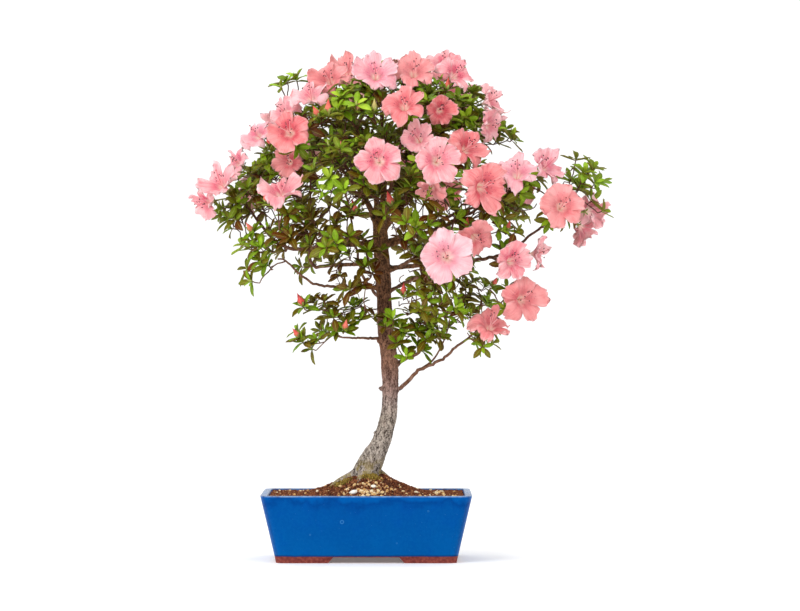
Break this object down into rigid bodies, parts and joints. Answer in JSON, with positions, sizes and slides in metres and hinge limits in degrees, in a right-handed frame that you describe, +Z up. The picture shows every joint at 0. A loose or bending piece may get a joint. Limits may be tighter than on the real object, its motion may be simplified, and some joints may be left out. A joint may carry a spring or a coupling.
{
  "type": "satsuki azalea bonsai",
  "caption": "Flowering satsuki azalea bonsai: a slender curved trunk under a domed crown of pink funnel blooms and leaf whorls, in a glazed rectangular pot on corner feet.",
  "frame": {"origin": "centre of the whole plant's bounding box in plan, at the underside of the pot's feet", "axes": "+Z up, +X to the right of the tree's front, +Y towards its back; the front of the tree and a long side of the pot face -Y"},
  "size_m": [0.5088, 0.367, 0.6138],
  "materials": {
    "glazed_pot": "satin cobalt glaze, the feet bare terracotta",
    "potting_soil": "loose reddish brown granules with pale gravel",
    "drain_mesh": "matte moulded net",
    "bark": "rough, finely fissured bark",
    "leaf": "half-gloss green leaf",
    "petal_pink": "soft matte petal",
    "petal_coral": "soft matte petal",
    "petal_pale": "soft matte petal"
  },
  "bodies": {
    "root": {"pot": "glazed_pot", "soil": "potting_soil", "drain_mesh_left": "drain_mesh", "drain_mesh_right": "drain_mesh", "tree": "bark", "blooms_01": "petal_coral", "blooms_02": "petal_pale", "blooms_03": "petal_coral", "blooms_04": "petal_pink", "blooms_05": "petal_pink", "blooms_06": "petal_coral", "blooms_07": "petal_pale", "blooms_08": "petal_pink", "blooms_09": "petal_pink", "blooms_10": "petal_coral", "blooms_11": "petal_pink", "blooms_12": "petal_pink", "blooms_13": "petal_coral", "blooms_14": "petal_coral", "blooms_15": "petal_pale", "blooms_16": "petal_pale", "blooms_17": "petal_coral", "blooms_18": "petal_pink", "blooms_19": "petal_pale", "blooms_20": "petal_coral", "blooms_21": "petal_pink", "blooms_22": "petal_coral", "blooms_23": "petal_coral", "blooms_24": "petal_pink", "blooms_25": "petal_coral", "blooms_26": "petal_pink", "blooms_27": "petal_pink", "blooms_28": "petal_pink", "blooms_29": "petal_coral", "blooms_30": "petal_pink", "blooms_31": "petal_pale", "leaves_left_tip": "leaf", "leaves_left_mid": "leaf", "leaves_left_under": "leaf", "leaves_left_front": "leaf", "leaves_left_low": "leaf", "leaves_left_back": "leaf", "leaves_top_left": "leaf", "leaves_top_front": "leaf", "leaves_top_back": "leaf", "leaves_top_right": "leaf", "leaves_front_high": "leaf", "leaves_front_low": "leaf", "leaves_trunk_front": "leaf", "leaves_right_high": "leaf", "leaves_right_front": "leaf", "leaves_right_tip": "leaf", "leaves_low_front": "leaf", "leaves_low_right": "leaf", "leaves_low_inner": "leaf", "leaves_back_high_left": "leaf", "leaves_back_high": "leaf", "leaves_back_right": "leaf", "leaves_back_low_left": "leaf", "leaves_back_low_right": "leaf"}
  },
  "joints": []
}
